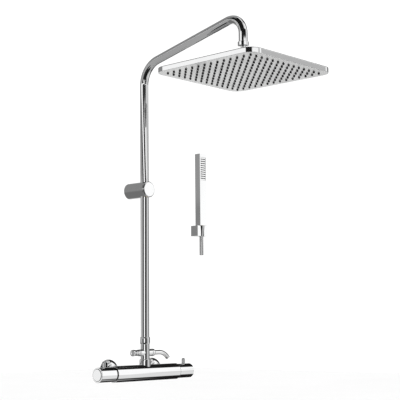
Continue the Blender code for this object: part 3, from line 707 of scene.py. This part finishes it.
def rain_head():
    grid = square_ring(NOZZLES * PITCH / 2, GRID_POINTS)

    wall = edge_arc(0.5, -38, 1) + edge_arc(2.2, -25.5, -1)[::-1]
    skin_thickness = 1.5
    inner = [(skin_thickness, -27), (skin_thickness, -38)]
    rings = [head_ring(head_outline(inset), height) for inset, height in wall]
    hole = [p.normalized() * 9 for p in square_ring(1, GRID_POINTS)]
    rings += [head_ring(hole, -25.5), head_ring(hole, -27)]
    rings += [head_ring(head_outline(inset), height) for inset, height in inner]
    piece("head_shell", skin(loft(rings, cyclic=True)), CHROME, "rain_head", "head_cover")

    low, high = -38, -35.8
    plate_inset = skin_thickness + 0.3
    edge = edge_arc(0.4, low, 1) + edge_arc(0.3, high, -1)[::-1]
    rings = [head_ring(grid, low)]
    rings += [head_ring(head_outline(plate_inset + inset), height) for inset, height in edge]
    rings.append(head_ring(grid, high))
    hole = [(3.35, low), (2.95, low + 0.35), (2.95, high)]
    faces = loft(rings) + cells(hole, low, high)
    piece("spray_plate", skin(faces), SATIN, "rain_head", "head_face_plate")

    low, high = -35.5, -34.3
    rim = [head_ring(head_outline(8.2), low), head_ring(head_outline(8.2), high)]
    rings = [head_ring(grid, low), *rim, head_ring(grid, high)]
    stud = [
        (2.5, low),
        (2.3, -40.3),
        (2.2, -40.65),
        (1.95, -40.9),
        (1.5, -41),
        (0.6, -41),
        (0.5, -39.6),
        (0, -39.6),
    ]
    faces = loft(rings) + cells(stud, low)
    for x in ROW:
        for y in ROW:
            faces.append(head_ring(square_ring(PITCH / 2, CELL_POINTS, (x, y)), high))
    piece("nozzle_sheet", skin(faces), SILICONE, "rain_head", "nozzle_mat")


# Hand shower and its wall holder

SLOT_ROWS, SLOT_PITCH = 10, 5.8 * MM


def bar_about(x, half, depths, heights):
    """A box centred on x, half so many millimetres wide, between two depths and heights."""
    (back, front), (low, high) = depths, heights
    return box((x - half * MM, back, low), (x + half * MM, front, high))


def holder():
    """A forked block, open in front, whose tapered seat takes the cone of the hose nut."""
    x, y = STICK.x, STICK.y
    mesh = bar_about(x, 19, (HOLDER_FRONT, 0), (HOLDER_BOTTOM, HOLDER_TOP))
    seat = lathe([(0, 29), (9.2, 29), (6.2, -1), (0, -1)], (x, y, HOLDER_BOTTOM), Z, 96)
    slot = bar_about(x, 6.2, (-40 * MM, y), (HOLDER_BOTTOM - MM, HOLDER_TOP + MM))
    middle, reach = (HOLDER_TOP + HOLDER_BOTTOM) / 2, 10.3 * MM
    pocket = bar_about(x, 12.3, (-5.3 * MM, 5 * MM), (middle - reach, middle + reach))
    for tool in (combined(slot, seat, "UNION"), pocket):
        mesh = combined(mesh, tool)
    piece("holder_fork", eased(mesh, 0.5), CHROME, "column", "holder_block")


def handset():
    """Hollow stick, spray face with its nozzle pad, cone nut and hose stub."""
    x, y = STICK.x, STICK.y
    bottom = HOLDER_TOP + 0.5 * MM
    top = bottom + STICK_LENGTH
    front = y - 9 * MM
    stick = bar_about(x, 13, (front, y + 9 * MM), (bottom, top))
    inner = (bottom + 3.6 * MM, top - 3.6 * MM)
    cavity = bar_about(x, 11.2, (y - 7.2 * MM, y + 7.2 * MM), inner)
    face_top = top - 10 * MM
    face_bottom = face_top - 62 * MM
    face_heights = (face_bottom, face_top)
    opening = (face_bottom - GAP, face_top + GAP)
    window = bar_about(x, 11, (front - 3 * MM, front + 3 * MM), opening)
    inlet_hole = lathe([(0, -2), (6.3, -2), (6.3, 6), (0, 6)], (x, y, bottom), Z, 64)
    for tool in (cavity, window, inlet_hole):
        stick = combined(stick, tool)
    piece("stick_body", eased(stick, 0.8), CHROME, "hand_shower", "handset_body")

    face = bar_about(x, 10.7, (front + 0.5 * MM, front + 2.1 * MM), face_heights)
    pad = bar_about(x, 10.7, (front + 2.5 * MM, front + 3.9 * MM), face_heights)
    middle = (face_top + face_bottom) / 2
    for i in range(SLOT_ROWS):
        z = middle + (i - (SLOT_ROWS - 1) / 2) * SLOT_PITCH
        for side in (x - 5 * MM, x + 5 * MM):
            tall = 1.2 * MM
            slot = bar_about(side, 4.3, (front - MM, front + 4 * MM), (z - tall, z + tall))
            face = combined(face, slot)
            tall = 0.9 * MM
            rib = bar_about(side, 4, (front + 0.3 * MM, front + 3 * MM), (z - tall, z + tall))
            pad = combined(pad, rib, "UNION")
    piece("stick_face", eased(face, 0.25, 2), CHROME, "hand_shower", "handset_spray_face")
    piece("stick_nozzles", eased(pad, 0.2, 2), SILICONE, "hand_shower", "handset_nozzle_pad")

    low = Vector((x, y, HOLDER_BOTTOM))
    cone = [
        (6.3, 27.9),
        (8.7, 27.9, 0.5),
        (5.9, 0, 1),
        (5.9, -3, 0.6),
        (3.7, -3),
        (3.7, 13),
        (6.3, 13),
    ]
    piece("cone_nut", lathe(cone, low, Z), CHROME, "hand_shower", "hose_cone_nut")
    crimps = []
    for z in (-7, -10, -13):
        crimps += [(5.4, z, 0.2), (5.1, z - 0.3, 0.2), (5.1, z - 1, 0.2), (5.4, z - 1.3, 0.2)]
    sleeve = [
        (3.3, 9),
        (3.3, -3.3),
        (5.4, -3.3, 0.5),
        *crimps,
        (5.4, -51.3, 0.5),
        (2, -51.3, 0.3),
        (2, 9),
    ]
    piece("hose_ferrule", lathe(sleeve, low, Z, 72), CHROME, "hand_shower", "hose_end_sleeve")


def inner_parts():
    """The CAD nodes that keep their own shape get a finish."""
    kept = {
        "temperature_spindle flow_spindle thermostatic_cartridge flow_cartridge inlet_tail_left "
        "inlet_tail_right diverter_nipple diverter_spindle riser_coupling handset_connector": BRASS,
        "temperature_handle_screw flow_handle_screw bracket_wall_plate holder_wall_plate": STEEL,
        "inlet_washer_left inlet_washer_right riser_seal ball_seal head_gasket": RUBBER,
        "check_valve_left check_valve_right ball_seat": PLASTIC,
        "diverter_seat": CERAMIC,
    }
    for names, (slot, material) in kept.items():
        for name in names.split():
            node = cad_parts[name]
            node.data.materials.clear()
            node.data.materials.append(material)


# Stage: floor, light and camera


def studio():
    """The panels and stripes below as seen in reflections, and even white light otherwise."""
    scene = bpy.context.scene
    world = bpy.data.worlds.new("studio")
    scene.world = world
    world.use_nodes = True
    nodes, links = world.node_tree.nodes, world.node_tree.links
    nodes.clear()

    def math_node(operation, *values):
        node = nodes.new("ShaderNodeMath")
        node.operation = operation
        for socket, value in zip(node.inputs, values):
            if isinstance(value, (int, float)):
                socket.default_value = value
            else:
                links.new(value, socket)
        return node.outputs["Value"]

    def within(angle, start, end, soft):
        """1 between two angles in degrees, with soft ends."""
        off = math_node("SUBTRACT", angle, (start + end) / 2)
        off = math_node("ABSOLUTE", math_node("WRAP", off, 180, -180))
        edge = nodes.new("ShaderNodeMapRange")
        edge.interpolation_type = "SMOOTHSTEP"
        half = (end - start) / 2
        for socket, value in zip(edge.inputs[1:5], (half - soft / 2, half + soft / 2, 1, 0)):
            socket.default_value = value
        links.new(off, edge.inputs["Value"])
        return edge.outputs["Result"]

    direction = nodes.new("ShaderNodeSeparateXYZ")
    links.new(nodes.new("ShaderNodeTexCoord").outputs["Generated"], direction.inputs[0])
    x, y, z = direction.outputs
    azimuth = math_node("DEGREES", math_node("ARCTAN2", x, math_node("MULTIPLY", y, -1)))
    elevation = math_node("DEGREES", math_node("ARCSINE", z))

    def swing(*ends):
        """Degrees to turn by at each elevation."""
        node = nodes.new("ShaderNodeMapRange")
        for socket, value in zip(node.inputs[1:5], ends):
            socket.default_value = value
        links.new(elevation, node.inputs["Value"])
        return node.outputs["Result"]

    swung = math_node("ADD", azimuth, math_node("ADD", swing(*SWING_LOW), swing(*SWING_HIGH)))
    level = None
    panels = [(azimuth, *panel) for panel in PANELS] + [(swung, *panel) for panel in STRIPES]
    panels += [(azimuth, *panel) for panel in CARDS]
    for across, from_az, to_az, from_el, to_el, soft, value in panels:
        in_azimuth = within(across, from_az, to_az, soft)
        in_elevation = within(elevation, from_el, to_el, soft)
        mask = math_node("MULTIPLY", in_azimuth, in_elevation)
        mix = nodes.new("ShaderNodeMix")
        links.new(mask, mix.inputs["Factor"])
        if level is None:
            mix.inputs["A"].default_value = BASE_LEVEL
        else:
            links.new(level, mix.inputs["A"])
        mix.inputs["B"].default_value = value
        level = mix.outputs["Result"]

    reflected, plain = nodes.new("ShaderNodeBackground"), nodes.new("ShaderNodeBackground")
    links.new(level, reflected.inputs["Strength"])
    reflected.inputs["Color"].default_value = (1, 1, 1, 1)
    plain.inputs["Color"].default_value = (1, 1, 1, 1)
    plain.inputs["Strength"].default_value = PLAIN_LEVEL
    choice, out = nodes.new("ShaderNodeMixShader"), nodes.new("ShaderNodeOutputWorld")
    links.new(nodes.new("ShaderNodeLightPath").outputs["Is Glossy Ray"], choice.inputs["Fac"])
    links.new(plain.outputs[0], choice.inputs[1])
    links.new(reflected.outputs[0], choice.inputs[2])
    links.new(choice.outputs[0], out.inputs["Surface"])
    scene.view_settings.view_transform = "Standard"


PLAIN_LEVEL = 1.12  # of the light on everything that does not mirror it

# What the chrome sees, in degrees: azimuth 0 is straight ahead of the object (-Y) and grows
# towards +X; elevation 0 is level. A row is azimuth from and to, elevation from and to,
# softness and level. Later rows cover earlier ones.
BASE_LEVEL = 0.38
PANELS = [
    # far left and round to the back: grey, and darker below
    (-212, -134.3, -50, 50, 1.5, 0.25),
    (-212, -134.3, -50, -6, 10, 0.17),
    # behind on the right, above and below: dark
    (66, 131, 14, 62, 4, 0.012),
    (66, 131, -46, -16, 4, 0.012),
    # ceiling: light on the right, dark on the left, grey above the wall
    (-180, -13, 56, 90, 3, 0.012),
    (-13, 180, 62, 90, 3, 0.75),
    (110, 245, 53, 74, 4, 0.3),
    # front right: light above and below, light grey ahead and dark grey at the level
    (25, 66, 11, 50, 4, 1.1),
    (25, 64, -50, -8, 4, 0.8),
    (-18, 40, -46, 44, 5, 0.6),
    (50, 130, -8, 11, 4, 0.2),
]
# Stripes in front. From 7 degrees up they swing to the left, a little on the way down to
# level and far more on the way up. A swing is elevation from and to, and degrees from and to.
SWING_LOW = (0, 7, 11, 0)
SWING_HIGH = (7.4, 12.4, 0, 60)
STRIPES = [
    (-94, -60, -40, 10.8, 3, 0.03),
    (-61, -35, -3.5, 14, 2, 1.15),
    (-64, 2, -70, -3.5, 2, 0.01),
    (-35, 2, -3.5, 14, 2, 0.01),
    (2, 22, -20, 7.6, 2, 0.22),
    (22, 54, -20, 7.6, 2, 0.6),
    (2, 46, 7.6, 13, 1, 0.85),
]
CARDS = [
    # windows that the faces square to the wall see
    (39.5, 49.5, -8, 11.5, 1.5, 1.1),
    (45, 49.5, -8, 2, 2, 0.75),
    (49, 56, 11.5, 16.5, 1.5, 0.5),
    # what the elbow and the neck of the arm see
    (-80, -2, 11.5, 14, 1, 0.03),
    (-88, -38, 13, 16, 1, 0.012),
    (-135.8, -90, 12, 16, 1, 1.0),
    (-34, 20, 13.5, 15.6, 0.6, 1.0),
    (-88, 28, 15.6, 28, 1, 0.01),
    # what the left of the riser sees
    (-182, -137.5, -1, 7.6, 1, 0.6),
    # what the outer side of the arm's crest sees
    (-135, -13, 17, 58, 2, 0.01),
    (-13, 40, 28, 60, 3, 0.8),
    (-20, 7, 17, 31, 3, 0.01),
    # what the left sides of the hand shower and its holder see
    (-136, -128, 6.5, 10, 1, 0.31),
    (-136, -128, 2, 6.5, 1, 0.24),
    # a white card that the left end cap sees
    (-141.5, -136.8, -4.2, -1, 0.6, 0.95),
    # what the underside of the head sees
    (112, 160, -20, -4, 6, 0.95),
]


UNREFLECTED_PIECES = (
    "lower_riser union_nut tee_body outlet_nut outlet_bend saddle_skirt gland_ring diverter_grip"
)
UNREFLECTED_NODES = "diverter_nipple diverter_seat diverter_spindle riser_seal"


def unreflected():
    """The clean dark top of the bar shows no picture of what stands on it."""
    shown = [bpy.data.objects[name] for name in UNREFLECTED_PIECES.split()]
    inside = [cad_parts[name] for name in UNREFLECTED_NODES.split()]
    for obj in shown + inside:
        obj.visible_glossy = False


FLOOR_HALF, FLOOR_BOTTOM, FLOOR_TOP = 3, -0.62, -0.60


def floor():
    low, high = (-FLOOR_HALF, -FLOOR_HALF, FLOOR_BOTTOM), (FLOOR_HALF, FLOOR_HALF, FLOOR_TOP)
    mesh = box(low, high)
    obj = bpy.data.objects.new("floor", mesh)
    bpy.context.scene.collection.objects.link(obj)
    made = Finish("pale_floor", 0.0)
    made.colour(made.noise(400, detail=3), (0.3, (0.93, 0.93, 0.93)), (0.7, (0.95, 0.95, 0.95)))
    made.roughness(made.spread(made.noise(30), 0.7, 0.85))
    mesh.materials.append(made.material)
    obj.visible_glossy = False


CAMERA_PLACE = (-1.9019, -1.9718, -0.3366)
CAMERA_ANGLES = (47.72, 6.55, -0.53)  # yaw from +Y towards +X, pitch up, roll, in degrees
CAMERA_LENS, CAMERA_SENSOR = 97.15, 36  # millimetres


def camera():
    yaw, pitch, roll = (math.radians(a) for a in CAMERA_ANGLES)
    data = bpy.data.cameras.new("camera")
    data.sensor_width, data.lens = CAMERA_SENSOR, CAMERA_LENS
    data.clip_end = 50
    obj = bpy.data.objects.new("camera", data)
    bpy.context.scene.collection.objects.link(obj)
    ahead = Vector(
        (math.sin(yaw) * math.cos(pitch), math.cos(yaw) * math.cos(pitch), math.sin(pitch))
    )
    level = Vector((math.cos(yaw), -math.sin(yaw), 0))
    upright = level.cross(ahead)
    right = level * math.cos(roll) + upright * math.sin(roll)
    up = upright * math.cos(roll) - level * math.sin(roll)
    turn = Matrix((right, up, -ahead)).transposed().to_4x4()
    obj.matrix_world = Matrix.Translation(CAMERA_PLACE) @ turn
    bpy.context.scene.camera = obj


mixer_bar()
handle("temperature", -1)
handle("flow", 1)
inlet("left", -75)
inlet("right", 75)
diverter()
riser()
bracket()
ball_joint()
rain_head()
holder()
handset()
inner_parts()
unreflected()
studio()
floor()
camera()
